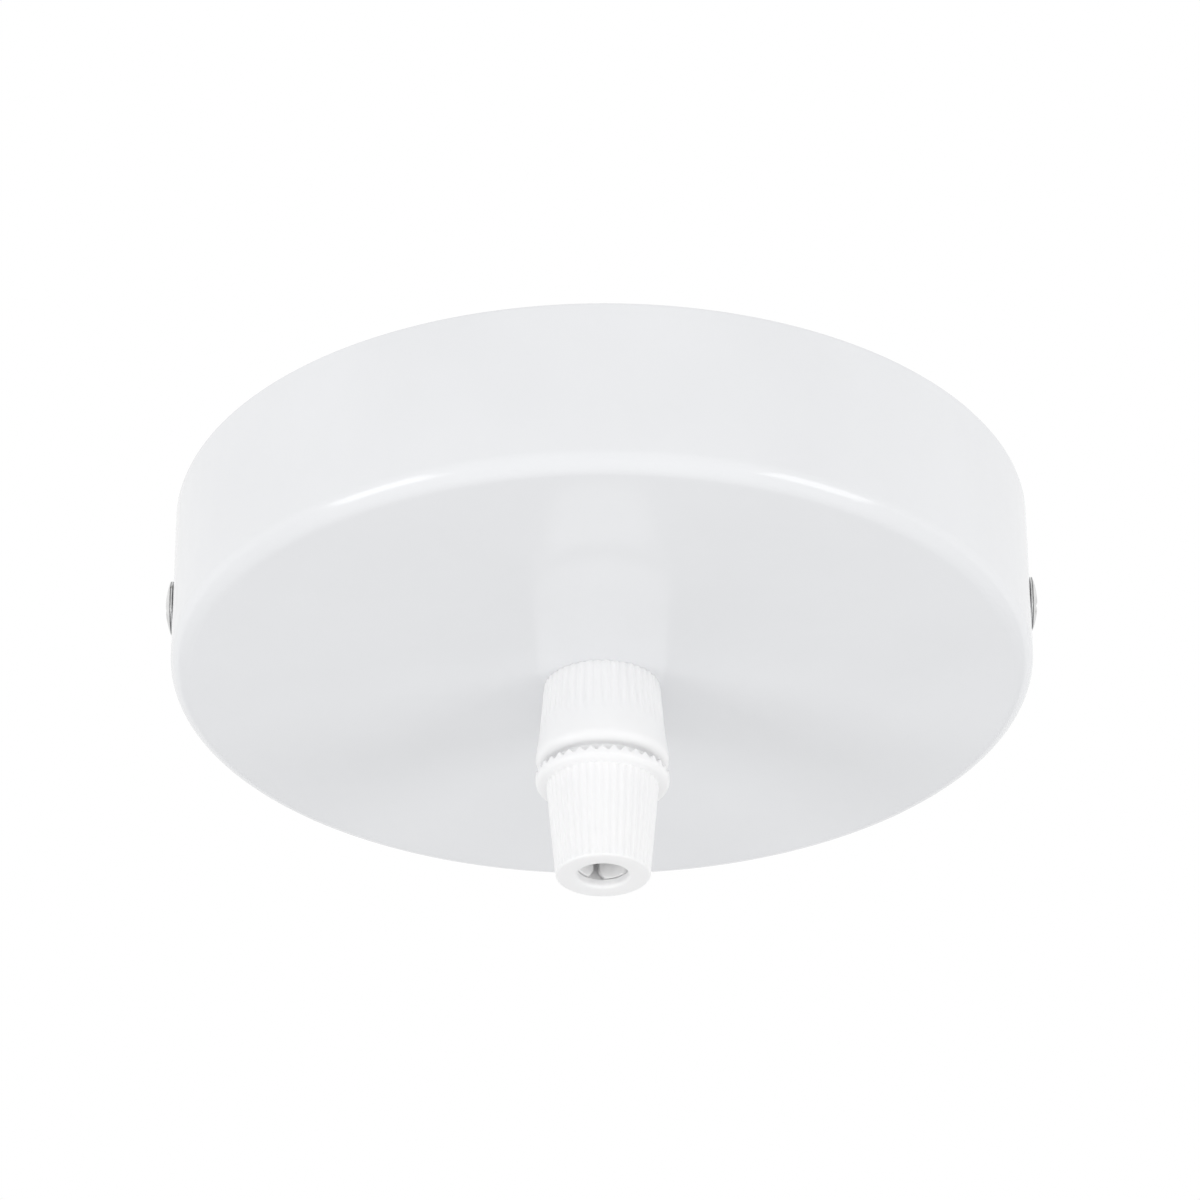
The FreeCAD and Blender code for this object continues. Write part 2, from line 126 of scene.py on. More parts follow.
def turned(name, outline, columns):
    """A closed piece from an outline of (radius, height) points in mm, turned about the Z axis."""
    points = [(r * MM, z * MM) for r, z in outline]
    radius, height = points[0]
    bpy.ops.object.select_all(action="DESELECT")
    bpy.ops.mesh.primitive_circle_add(vertices=columns, radius=radius, location=(0, 0, height))
    piece = bpy.context.object
    piece.name = piece.data.name = name
    bpy.ops.object.transform_apply(location=True, rotation=True, scale=True)
    bpy.ops.object.mode_set(mode="EDIT")
    bpy.ops.mesh.select_all(action="SELECT")
    for next_radius, next_height in points[1:] + points[:1]:
        bpy.ops.mesh.extrude_edges_move(
            TRANSFORM_OT_translate={"value": (0, 0, next_height - height)})
        grow = next_radius / radius
        bpy.ops.transform.resize(value=(grow, grow, 1), center_override=(0, 0, next_height))
        radius, height = next_radius, next_height
    bpy.ops.mesh.select_all(action="SELECT")
    bpy.ops.mesh.remove_doubles(threshold=WELD)
    bpy.ops.mesh.normals_make_consistent(inside=False)
    bpy.ops.object.mode_set(mode="OBJECT")
    return piece

# %% [markdown]
# Holes, slots and key ways are cut with a tool body, as a drill or a saw cuts them. The Boolean
# modifier does it, because the cuts run across the rings of a turned piece.

# %% Cut with a tool body
def drill(radius, length, place, turn):
    """A round tool body, in metres, turned from the Z axis."""
    bpy.ops.object.select_all(action="DESELECT")
    bpy.ops.mesh.primitive_cylinder_add(
        vertices=64, radius=radius, depth=length, location=place, rotation=turn)
    return bpy.context.object


def saw(size, place):
    """A box-shaped tool body, in metres."""
    bpy.ops.object.select_all(action="DESELECT")
    bpy.ops.mesh.primitive_cube_add(size=1, location=place)
    tool = bpy.context.object
    tool.scale = size
    return tool


def cut(piece, tool):
    """Takes the tool body out of the piece and throws the tool away."""
    alone(piece)
    bpy.ops.object.modifier_add(type="BOOLEAN")
    change = piece.modifiers[-1]
    change.operation = "DIFFERENCE"
    change.solver = "EXACT"
    change.object = tool
    bpy.ops.object.modifier_apply(modifier=change.name)
    bpy.data.objects.remove(tool)

# %% [markdown]
# ## The canopy
# The cup is drawn from one disc of 0.8 mm steel: a flat face, a rounded lower edge and a straight
# wall. The inside follows the outside at the same distance, and the rim at the ceiling is deburred.
# A supporting ring beside each round edge keeps the flat faces flat in the shading.

# %% Turn the canopy
CUP_COLUMNS = 288
canopy_low, canopy_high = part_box("canopy")
washer_low, washer_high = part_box("side_washer_right")
canopy_r = canopy_high.x / MM
face_z = canopy_low.z / MM
hole_z = (washer_low.z + washer_high.z) / 2 / MM
washer_r = (washer_high.y - washer_low.y) / 2 / MM
sheet = 0.8
edge_r = 2.6
rim_r = 0.22
grip_hole_r = 5.2
support = 0.6
washer_cover = 0.3
inner_r = canopy_r - sheet
flat_r = canopy_r - edge_r
guard = washer_r - washer_cover
near_rings = [hole_z - guard, hole_z + guard]
canopy_outline = [
    (grip_hole_r + rim_r, face_z),
    (flat_r - support, face_z),
    *arc(flat_r, face_z + edge_r, edge_r, -90, 0, 16),
    *[(canopy_r, z) for z in near_rings],
    (canopy_r, -support),
    *arc(canopy_r - rim_r, -rim_r, rim_r, 0, 90, 4),
    *arc(inner_r + rim_r, -rim_r, rim_r, 90, 180, 4),
    (inner_r, -support),
    *[(inner_r, z) for z in reversed(near_rings)],
    *arc(flat_r, face_z + edge_r, edge_r - sheet, 0, -90, 10),
    (flat_r - support, face_z + sheet),
    *arc(grip_hole_r + rim_r, face_z + sheet - rim_r, rim_r, 90, 180, 3),
    *arc(grip_hole_r + rim_r, face_z + rim_r, rim_r, 180, 270, 3)[:-1],
]
canopy = turned("canopy_cup", canopy_outline, CUP_COLUMNS)
report(canopy)

# %% [markdown]
# One drill goes through both walls for the side screws. The two rings above and below the holes
# keep the cut faces small, so the wall stays smooth there, and the washers cover the rest.

# %% Drill the side holes
side_hole_r = 2.2
drill_length = 2.2 * canopy_high.x
across = (0, math.pi / 2, 0)
cut(canopy, drill(side_hole_r * MM, drill_length, (0, 0, hole_z * MM), across))
smooth(canopy)
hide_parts("canopy")
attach(canopy, "rose")
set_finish(canopy, "white_paint")
report(canopy)

# %% [markdown]
# ## Ribs
# The grip is ribbed so that fingers can hold it. The ribs are moulded in, so they are soft waves:
# every column of points is pushed towards the axis by its share of the depth. The wave is raised to
# a power, which makes the ribs wide and the grooves between them narrow. The number of columns is a
# multiple of the number of ribs, so each rib gets the same points.

# %% Press ribs
GROOVE_POWER = 1.5


def column(place, columns):
    """Number of the column of points that a place belongs to, counted from the +Y axis."""
    turn = math.atan2(place.x, place.y) / (2 * math.pi)
    return round(turn * columns) % columns


def press_flutes(piece, columns, count, inside, bands):
    """Pushes grooves into a turned piece. bands are (low, high, depth as a share of the radius)."""
    per_rib = columns // count
    for low, high, share in bands:
        for step in range(per_rib // 2):
            wave = (0.5 + 0.5 * math.cos(2 * math.pi * step / per_rib)) ** GROOVE_POWER
            pick(piece, lambda p: low * MM < p.z < high * MM
                 and math.hypot(p.x, p.y) > inside * MM
                 and column(p, columns) % per_rib in (step, per_rib - step))
            pull = 1 - share * wave
            bpy.ops.transform.resize(value=(pull, pull, 1), center_override=(0, 0, 0))
    alone(piece)

# %% [markdown]
# ## Threads
# A thread is a small triangle that the Screw modifier winds round the axis. It is a body of its own
# that sits in the surface of the core, so the core stays a plain turned piece.

# %% Wind threads
def thread(name, crest, depth, pitch, low, high, steps=48):
    """A V ridge about the Z axis from one height to another, in mm."""
    bpy.ops.object.select_all(action="DESELECT")
    bpy.ops.mesh.primitive_circle_add(
        vertices=3, radius=depth * MM, location=((crest - depth) * MM, 0, (low + pitch / 2) * MM),
        rotation=(math.pi / 2, math.pi / 2, 0))
    ridge = bpy.context.object
    ridge.name = name
    bpy.ops.object.transform_apply(location=True, rotation=True, scale=True)
    bpy.ops.object.modifier_add(type="SCREW")
    winding = ridge.modifiers[-1]
    winding.axis = "Z"
    winding.screw_offset = pitch * MM
    winding.iterations = int((high - low - pitch) / pitch)
    winding.steps = winding.render_steps = steps
    bpy.ops.object.modifier_apply(modifier=winding.name)
    bpy.ops.object.mode_set(mode="EDIT")
    bpy.ops.mesh.select_all(action="SELECT")
    bpy.ops.mesh.remove_doubles(threshold=WELD / 4)
    bpy.ops.mesh.fill_holes(sides=3)
    bpy.ops.mesh.normals_make_consistent(inside=False)
    bpy.ops.object.mode_set(mode="OBJECT")
    return ridge


def joined(piece, *others):
    """One object from several."""
    alone(piece)
    for other in others:
        other.select_set(True)
    bpy.ops.object.join()

# %% [markdown]
# ## The grip body
# Tail, collar and stem are one moulding of white nylon. The tail goes up through the canopy, the
# collar lies under it, and the cap screws on the stem. The collar has a slight taper and then a
# soft flare down to a lip with a rounded edge. Below the lip a short spigot fills the gap above the
# cap. The collar's rings lie closer together where the flare bends.

# %% Turn the grip body
RIB_COLUMNS = 504
RIBS = 42
body_low, body_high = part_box("grip_body")
tail_top = body_high.z / MM
stem_end = body_low.z / MM
tail_core = 4.62
way_r = 3.6
collar_top_r = 8.1
collar_h = 12.7
lip_z = face_z - collar_h
lip_round = 1.3
lip_step = 0.02
taper = 0.08
flare_out = 0.2
flare_start = 6.0
flare_end = 11.0
flare_drops = [1.7, 2.5, 3.5, 4.5, 5.3, 6.0, 6.6, 7.2, 7.8, 8.4, 9.1, 9.8, 10.4, flare_end]
rib_ends = [(0.06, 0.0), (0.02, 0.3), (0.0, 0.8)]
spigot_r = 7.3
spigot_end = lip_z - 0.75
stem_core = 5.22
socket_r = 4.6
socket_top = lip_z - 0.1
end_bevel = 0.3
stem_bevel = 0.25
small_bevel = 0.1


def collar_r(drop):
    """Radius of the collar this far below the canopy's face: a slight taper, then a flare."""
    flare = max(0.0, drop - flare_start) / (flare_end - flare_start)
    return collar_top_r + taper * drop + flare_out * min(flare, 1.0) ** 2


widest = collar_r(flare_end) + lip_step
body_outline = [
    (way_r, tail_top - end_bevel),
    (way_r + end_bevel, tail_top),
    (tail_core - end_bevel, tail_top),
    (tail_core, tail_top - end_bevel),
    (tail_core, face_z + sheet),
    (tail_core, face_z),
    *[(collar_r(drop) - inset, face_z - drop) for inset, drop in rib_ends],
    *[(collar_r(drop), face_z - drop) for drop in flare_drops],
    (widest, face_z - flare_end - end_bevel),
    *arc(widest - lip_round, lip_z + lip_round, lip_round, 0, -90, 9),
    (spigot_r + small_bevel, lip_z),
    (spigot_r, lip_z - small_bevel),
    (spigot_r, spigot_end + small_bevel),
    (spigot_r - small_bevel, spigot_end),
    (stem_core, spigot_end),
    (stem_core, stem_end + end_bevel),
    (stem_core - stem_bevel, stem_end),
    (socket_r + small_bevel, stem_end),
    (socket_r, stem_end + small_bevel),
    (socket_r, socket_top),
    (way_r, socket_top),
]
grip = turned("grip_body_moulding", body_outline, RIB_COLUMNS)
report(grip)

# %% [markdown]
# The collar's ribs start at the canopy and fade out well above the lip. They are pressed in bands,
# each less deep than the one above it, so that they run out gently as on the moulding.

# %% Press the collar's ribs
collar_rib = 0.025
rib_floor = 7.0
rib_top = face_z + 0.1
run_out = face_z - 6.2
fade = 0.6
fading = [(run_out - fade * (step + 1), run_out - fade * step, collar_rib * share)
          for step, share in enumerate((0.72, 0.36, 0.12))]
press_flutes(grip, RIB_COLUMNS, RIBS, rib_floor, [(run_out, rib_top, collar_rib), *fading])
print("ribs on the collar:", RIBS, "in", len(fading) + 1, "bands")

# %% [markdown]
# The stem has a coarse thread for the cap and the tail a fine one for the lock nut. Two key ways in
# the stem keep the collet from turning with the cap. They are sawn through the core and through the
# thread separately, because the two are still separate bodies and cut more cleanly so.

# %% Add both threads and saw the key ways
thread_start = 0.1
stem_thread = thread(
    "stem_thread", crest=5.8, depth=0.5, pitch=1.5, low=stem_end + thread_start, high=spigot_end)
key_room = 0.2
key_overrun = 1.0
key_deep = 2.6
key_wide = 2.0
key_x = 5.6
key_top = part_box("grip_collet")[1].z / MM + key_room
key_low = stem_end - key_overrun
key_size = Vector((key_deep, key_wide, key_top - key_low)) * MM
for piece in (grip, stem_thread):
    for side in (-1, 1):
        cut(piece, saw(key_size, Vector((side * key_x, 0, (key_top + key_low) / 2)) * MM))
tail_thread = thread(
    "tail_thread", crest=4.98, depth=0.34, pitch=1.0, low=face_z + sheet + thread_start, high=tail_top)
joined(grip, stem_thread, tail_thread)
smooth(grip, 40)
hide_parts("grip_body")
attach(grip, "rose")
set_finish(grip, "white_nylon")
report(grip)

# %% [markdown]
# ## The grip cap
# The cap screws up on the stem. Its flange carries a crown of small teeth that face the collar's
# lip, and the ribbed cone below is what one turns. The mouth is rounded so that it doesn't chafe
# the cord, and behind it a tapered seat presses the collet's jaws together. The crown is first
# turned as a plain ring, and the teeth are made from it afterwards.

# %% Turn the cap
cap_low, cap_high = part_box("grip_cap")
cap_top = cap_high.z / MM
cap_end = cap_low.z / MM
flange_r = cap_high.y / MM
flange_t = 1.2
flange_round = 0.8
tooth_h = 0.6
tooth_bevel = 0.15
valley = cap_top - tooth_h
flange_end = valley - flange_t
flange_foot = [(0.25, 0.0), (0.05, 0.03)]
crown_r = 7.5
cone_r = 7.75
end_r = 6.5
end_round = 0.4
bore_r = 5.9
mouth_r = 3.5
mouth_round = 0.5
mouth_top = cap_end + 1.2
seat_low_r = 3.95
seat_high_r = 5.5
seat_top = stem_end - 1.6
cone_steps = 9
cone_start = flange_end - 0.1
cone_stop = cap_end + end_round + 0.2


def cone_at(z):
    """Radius of the cone at a height."""
    return cone_r + (end_r - cone_r) * (flange_end - z) / (flange_end - cap_end)


cone_zs = [cone_start + (cone_stop - cone_start) * i / cone_steps for i in range(cone_steps + 1)]
cap_outline = [
    (bore_r, valley),
    (crown_r, valley),
    (crown_r, cap_top),
    (flange_r - tooth_bevel, cap_top),
    (flange_r, cap_top - tooth_bevel),
    (flange_r, valley - small_bevel),
    *arc(flange_r - flange_round, flange_end + flange_round, flange_round, 0, -90, 6),
    *[(cone_r + out, flange_end - down) for out, down in flange_foot],
    *[(cone_at(z), z) for z in cone_zs],
    *arc(cone_at(cap_end + end_round) - end_round, cap_end + end_round, end_round, 0, -90, 9),
    *arc(mouth_r + mouth_round, cap_end + mouth_round, mouth_round, 270, 180, 6),
    (mouth_r, mouth_top),
    (seat_low_r, mouth_top),
    (seat_high_r, seat_top),
    (bore_r, seat_top),
]
cap = turned("grip_cap_moulding", cap_outline, RIB_COLUMNS)
report(cap)

# %% [markdown]
# The cone's ribs fade out in its rounded end, band by band as on the collar. For the teeth, the
# columns of the crown's ring are moved down by a wave, which leaves a row of points with round
# valleys. A power under one makes the points sharper than a plain wave.

# %% Press the cone's ribs and cut the crown's teeth
TEETH = 36
TOOTH_POWER = 0.8
cone_rib = 0.026
rib_clear = 0.1
rib_levels = [flange_end - 0.05, *[cap_end + rise for rise in (0.5, 0.37, 0.3, 0.15)]]
rib_shares = (1.0, 0.7, 0.4, 0.15)
press_flutes(cap, RIB_COLUMNS, RIBS, bore_r + rib_clear, [
    (low, high, cone_rib * share)
    for high, low, share in zip(rib_levels, rib_levels[1:], rib_shares)])
crown_low = cap_top - tooth_bevel - 0.05
per_tooth = RIB_COLUMNS // TEETH
for step in range(1, per_tooth // 2 + 1):
    drop = tooth_h * (0.5 - 0.5 * math.cos(2 * math.pi * step / per_tooth)) ** TOOTH_POWER
    pick(cap, lambda p: p.z > crown_low * MM
         and column(p, RIB_COLUMNS) % per_tooth in (step, per_tooth - step))
    bpy.ops.transform.translate(value=(0, 0, -drop * MM))
smooth(cap, 40)
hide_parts("grip_cap")
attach(cap, "cap")
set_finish(cap, "white_nylon")
report(cap)

# %% [markdown]
# ## The side screws
# The screws have low domed heads with a straight slot and a fine thread. One screw is modelled
# standing on the Z axis: turned, slotted with a saw, its edges rounded with the Bevel modifier, and
# its thread added last so that the bevel leaves it alone. The outline stops a hair short of the
# axis, because a ring of no size can't be scaled up again.

# %% Model one side screw
SCREW_COLUMNS = 96
AXIS_R = 0.02
HEAD_R = washer_r
HEAD_H = 0.84
RIM_H = 0.1
RIM_BEVEL = (0.06, 0.04)
SHANK = 6.5
TIP_R = 1.35
CORE_R = 1.66
NECK_R = 1.8
TIP_H = 0.35
NECK_H = 0.15
SLOT_WIDE = 1.2
SLOT_DEEP = 0.6
SAW_H = 2.0


def softly_edged(piece, width, angle=30):
    """Rounds every edge that is sharper than the angle. width is in mm."""
    alone(piece)
    bpy.ops.object.modifier_add(type="BEVEL")
    edge = piece.modifiers[-1]
    edge.limit_method = "ANGLE"
    edge.angle_limit = math.radians(angle)
    edge.width = width * MM
    edge.segments = 2
    edge.use_clamp_overlap = True
    bpy.ops.object.modifier_apply(modifier=edge.name)
    return smooth(piece)


dome = [(HEAD_R * share, RIM_H + (HEAD_H - RIM_H) * (1 - share**2))
        for share in (0.97, 0.9, 0.8, 0.68, 0.54, 0.4, 0.24, 0.1)]
screw_outline = [
    (AXIS_R, -SHANK),
    (TIP_R, -SHANK),
    (CORE_R, -SHANK + TIP_H),
    (CORE_R, -NECK_H),
    (NECK_R, 0),
    (HEAD_R - RIM_BEVEL[0], 0),
    (HEAD_R, RIM_BEVEL[1]),
    (HEAD_R, RIM_H),
    *dome,
    (AXIS_R, HEAD_H),
]
screw_master = turned("side_screw_master", screw_outline, SCREW_COLUMNS)
slot_size = Vector((3 * HEAD_R, SLOT_WIDE, SAW_H)) * MM
cut(screw_master, saw(slot_size, (0, 0, (HEAD_H - SLOT_DEEP + SAW_H / 2) * MM)))
softly_edged(screw_master, 0.06, angle=40)
screw_thread = thread(
    "side_screw_thread", crest=1.98, depth=0.3, pitch=0.7, low=-SHANK + 0.1, high=-0.2, steps=32)
joined(screw_master, screw_thread)
smooth(screw_master, 40)
report(screw_master)

# %% [markdown]
# ## The washers, and a pair for each side
# The washers are stamped from thin strip, which rounds their edges a little. A screw and a washer
# are copied for each side and laid on the X axis. Each screw is turned to the angle at which it was
# left when it was tightened, so the two slots don't match.

# %% Model one washer and place both pairs
SLOT_TURNS = {"left": 35.0, "right": 136.5}
washer_t = (washer_high.x - washer_low.x) / MM
soft = 0.35 * washer_t
washer_outline = [
    *arc(HEAD_R - soft, soft, soft, -90, 0, 3),
    *arc(HEAD_R - soft, washer_t - soft, soft, 0, 90, 3),
    *arc(side_hole_r + soft, washer_t - soft, soft, 90, 180, 3),
    *arc(side_hole_r + soft, soft, soft, 180, 270, 3),
]
washer_master = smooth(turned("side_washer_master", washer_outline, SCREW_COLUMNS))


def place_on_side(name, master, side, turn, distance):
    """A copy of a piece on the Z axis, turned about it and laid on the X axis, pointing outwards."""
    copy = bpy.data.objects.new(name, master.data.copy())
    bpy.context.scene.collection.objects.link(copy)
    alone(copy)
    bpy.ops.object.mode_set(mode="EDIT")
    bpy.ops.mesh.select_all(action="SELECT")
    bpy.ops.transform.rotate(value=-math.radians(turn), orient_axis="Z", center_override=(0, 0, 0))
    bpy.ops.transform.rotate(value=-side * math.pi / 2, orient_axis="Y", center_override=(0, 0, 0))
    bpy.ops.transform.translate(value=(side * distance, 0, hole_z * MM))
    bpy.ops.object.mode_set(mode="OBJECT")
    return copy


head_gap = 0.05 * MM
head_seat = washer_high.x + head_gap
for name, side in (("left", -1), ("right", 1)):
    screw = place_on_side(
        "side_screw_" + name + "_turned", screw_master, side, SLOT_TURNS[name], head_seat)
    washer = place_on_side(
        "side_washer_" + name + "_stamped", washer_master, side, 0, washer_low.x)
    for piece, kind in ((screw, "screw"), (washer, "washer")):
        smooth(piece, 40)
        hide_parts("side_" + kind + "_" + name)
        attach(piece, name + "_" + kind)
        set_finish(piece, "nickel_plate")
        report(piece)
for master in (screw_master, washer_master):
    bpy.data.objects.remove(master)

# %% [markdown]
# ## The parts inside
# The strap, the nut, the terminals and the collet keep the form that the CAD gave them. Real
# pressed and moulded parts have no knife edges, so each is copied, its loose triangles are welded
# into whole faces, and its edges are rounded a little, each by its own width in mm.

# %% Round the edges of the inner parts
INNER_PARTS = {
    "ceiling_bracket": ("rose", "zinc_steel", 0.18),
    "lock_nut": ("rose", "zinc_steel", 0.22),
    "lock_washer": ("rose", "zinc_steel", 0.08),
    "terminal_block": ("rose", "terminal_plastic", 0.18),
    "terminal_insert_1": ("rose", "brass", 0.1),
    "terminal_insert_2": ("rose", "brass", 0.1),
    "terminal_screw_1": ("rose", "brass", 0.08),
    "terminal_screw_2": ("rose", "brass", 0.08),
    "terminal_screw_3": ("rose", "brass", 0.08),
    "terminal_screw_4": ("rose", "brass", 0.08),
    "terminal_fixing_screw": ("rose", "zinc_steel", 0.12),
    "earth_screw": ("rose", "brass", 0.15),
    "earth_washer": ("rose", "brass", 0.1),
    "grip_collet": ("collet", "white_nylon", 0.1),
}


def rounded_copy(name, width):
    """A copy of a CAD node with whole faces and rounded edges."""
    copy = bpy.data.objects.new(name + "_finished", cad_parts[name].data.copy())
    bpy.context.scene.collection.objects.link(copy)
    alone(copy)
    bpy.ops.object.mode_set(mode="EDIT")
    bpy.ops.mesh.select_all(action="SELECT")
    bpy.ops.mesh.remove_doubles(threshold=WELD / 4)
    bpy.ops.mesh.dissolve_limited(angle_limit=math.radians(1))
    bpy.ops.mesh.normals_make_consistent(inside=False)
    bpy.ops.object.mode_set(mode="OBJECT")
    return softly_edged(copy, width)


for name, (body, slot, width) in INNER_PARTS.items():
    piece = rounded_copy(name, width)
    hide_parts(name)
    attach(piece, body)
    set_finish(piece, slot)
    report(piece)

# %% [markdown]
# ## Finishes
# Every finish is built from nodes, so it needs no picture and looks right from any distance. Three
# effects come back in several materials and are node groups: a cloudy mottle, a fine grain for
# bumps, and rare specks.

# %% Node helpers
def srgb(red, green, blue):
    """A colour as it is read off a screen, 0 to 255, in the shader's own scale."""
    def line(v):
        v /= 255
        return v / 12.92 if v <= 0.04045 else ((v + 0.055) / 1.055) ** 2.4
    return (line(red), line(green), line(blue), 1.0)


def add(tree, kind, inputs=None, **settings):
    """A node with its settings, its inputs set to values or linked to other nodes' sockets."""
    made = tree.nodes.new(kind)
    for key, value in settings.items():
        setattr(made, key, value)
    for key, value in (inputs or {}).items():
        if isinstance(value, bpy.types.NodeSocket):
            tree.links.new(value, made.inputs[key])
        else:
            made.inputs[key].default_value = value
    return made


def maths(tree, operation, first, second):
    """The result of one step of arithmetic."""
    return add(tree, "ShaderNodeMath", {0: first, 1: second}, operation=operation).outputs[0]


def effect(name, sockets, result):
    """An empty node group with its inputs and one output."""
    group = bpy.data.node_groups.new(name, "ShaderNodeTree")
    group.interface.new_socket("Vector", in_out="INPUT", socket_type="NodeSocketVector")
    for label, value in sockets.items():
        made = group.interface.new_socket(label, in_out="INPUT", socket_type="NodeSocketFloat")
        made.default_value = value
    group.interface.new_socket(result, in_out="OUTPUT", socket_type="NodeSocketFloat")
    start = group.nodes.new("NodeGroupInput")
    end = group.nodes.new("NodeGroupOutput")
    return group, start.outputs, end.inputs[result]

# %% [markdown]
# The mottle is a noise spread between two values. The grain mixes a fine and a coarse noise. The
# specks are the middles of a few cells of a Voronoi pattern, chosen by the cell's random colour.

# %% Shared effects
mottle, given, out = effect("Cloudy mottle", {"Scale": 60.0, "Low": 0.0, "High": 1.0}, "Value")
cloud = add(mottle, "ShaderNodeTexNoise", {
    "Vector": given["Vector"], "Scale": given["Scale"], "Detail": 4.0, "Roughness": 0.55})
spread = add(mottle, "ShaderNodeMapRange", {
    "Value": cloud.outputs[0], "From Min": 0.3, "From Max": 0.7,
    "To Min": given["Low"], "To Max": given["High"]})
mottle.links.new(spread.outputs["Result"], out)

grain, given, out = effect("Fine grain", {"Scale": 900.0, "Coarse Share": 0.5}, "Height")
fine = add(grain, "ShaderNodeTexNoise", {
    "Vector": given["Vector"], "Scale": given["Scale"], "Detail": 2.0})
coarse = add(grain, "ShaderNodeTexNoise", {
    "Vector": given["Vector"], "Scale": maths(grain, "MULTIPLY", given["Scale"], 0.22),
    "Detail": 1.0})
both = add(grain, "ShaderNodeMix", {
    "Factor": given["Coarse Share"], "A": fine.outputs[0], "B": coarse.outputs[0]})
grain.links.new(both.outputs["Result"], out)

specks, given, out = effect("Rare specks", {"Scale": 220.0, "Size": 0.16, "Share": 0.05}, "Mask")
cells = add(specks, "ShaderNodeTexVoronoi", {"Vector": given["Vector"], "Scale": given["Scale"]})
near = maths(specks, "LESS_THAN", cells.outputs["Distance"], given["Size"])
apart = add(specks, "ShaderNodeSeparateColor", {"Color": cells.outputs["Color"]})
chosen = maths(specks, "LESS_THAN", apart.outputs["Red"], given["Share"])
specks.links.new(maths(specks, "MULTIPLY", near, chosen), out)
print("effects:", [group.name for group in (mottle, grain, specks)])

# %% [markdown]
# A material starts from its shader's constants. Then colours are mixed by an effect, an effect
# drives the roughness, and a grain tilts the shading. All of it reads Object coordinates, so a
# pattern stays on its piece when the piece moves.

# %% Material helpers
def finish(name, constants):
    """A material, its tree, its shader with constants set, and object coordinates."""
    made = bpy.data.materials.new(name)
    made.use_nodes = True
    tree = made.node_tree
    shader = next(n for n in tree.nodes if n.type == "BSDF_PRINCIPLED")
    for key, value in constants.items():
        shader.inputs[key].default_value = value
    place = add(tree, "ShaderNodeTexCoord").outputs["Object"]
    return made, tree, shader, place


def use(tree, group, place, **values):
    """The result of a shared effect at this place."""
    made = add(tree, "ShaderNodeGroup", node_tree=group)
    tree.links.new(place, made.inputs["Vector"])
    for key, value in values.items():
        made.inputs[key.replace("_", " ")].default_value = value
    return made.outputs[0]


def mixed(tree, share, first, second):
    """One colour over another by a share."""
    blend = add(tree, "ShaderNodeMix", data_type="RGBA")
    colours = [s for s in blend.inputs if s.type == "RGBA"]
    factor = next(s for s in blend.inputs if s.type == "VALUE")
    tree.links.new(share, factor)
    for socket, value in zip(colours, (first, second)):
        if isinstance(value, bpy.types.NodeSocket):
            tree.links.new(value, socket)
        else:
            socket.default_value = value
    return next(s for s in blend.outputs if s.type == "RGBA")


def rough(tree, shader, place, scale, low, high):
    """A cloudy roughness between two values."""
    value = use(tree, mottle, place, Scale=scale, Low=low, High=high)
    tree.links.new(value, shader.inputs["Roughness"])


def bump(tree, shader, height, strength, distance):
    """Heights that tilt the shading. distance is in mm."""
    made = add(tree, "ShaderNodeBump", {
        "Height": height, "Strength": strength, "Distance": distance * MM})
    tree.links.new(made.outputs["Normal"], shader.inputs["Normal"])


def report_finish(made):
    """Says which finish was made."""
    print("finish", made.name, "with", len(made.node_tree.nodes), "nodes")

# %% [markdown]
# The canopy has a stoved powder coat: near white, slightly cool, glossy, with the faint unevenness
# of sprayed powder and a speck of dust here and there.

# %% White paint
paint, tree, shader, place = finish("white_paint", {"IOR": 1.5, "Specular IOR Level": 0.5})
tone = mixed(tree, use(tree, mottle, place, Scale=35.0), srgb(236, 237, 239), srgb(239, 240, 242))
dust = use(tree, specks, place, Scale=260.0, Size=0.09, Share=0.02)
tree.links.new(mixed(tree, dust, tone, srgb(216, 217, 218)), shader.inputs["Base Color"])
rough(tree, shader, place, scale=80.0, low=0.12, high=0.16)
bump(tree, shader, use(tree, grain, place, Scale=700.0, Coarse_Share=0.6), 0.05, 0.05)
report_finish(paint)

# %% [markdown]
# The grip is moulded nylon: a neutral white, a little translucent, with a satin skin from the
# mould. The collet's jaws are thin and stand in the dark of the mouth, where real nylon is bright
# with the light that comes through the walls. Their variant has a whiter colour, which is painted
# light in place of that light, and it is not translucent, because translucence would draw light
# away into the dark behind them.

# %% White nylon
def white_moulding(name, first, second, translucent, reach):
    """White nylon between two tones. translucent is a share, and light reaches so many mm in."""
    made, tree, shader, place = finish(name, {
        "IOR": 1.53, "Subsurface Weight": translucent, "Subsurface Scale": reach * MM,
        "Subsurface Radius": (1.0, 1.0, 1.0)})
    tone = mixed(tree, use(tree, mottle, place, Scale=120.0), first, second)
    tree.links.new(tone, shader.inputs["Base Color"])
    rough(tree, shader, place, scale=200.0, low=0.38, high=0.48)
    bump(tree, shader, use(tree, grain, place, Scale=2600.0, Coarse_Share=0.4), 0.03, 0.02)
    report_finish(made)
    return made


nylon = white_moulding("white_nylon", srgb(249, 249, 250), srgb(251, 251, 251), 0.25, 0.6)
# The jaws' copy is whiter than the nylon: painted light for the inside of the mouth.
collet_nylon_painted_light = white_moulding("white_nylon_jaws_painted_light", srgb(251, 251, 251), srgb(253, 253, 253), 0.0, 0.5)

# %% [markdown]
# The side screws and their washers are nickel plated. Turning and tumbling leave fine marks: rings
# round the axis on the heads, and cloudy patches where the plate is duller. A Mapping node puts the
# middle of the rings on the screws' axis.

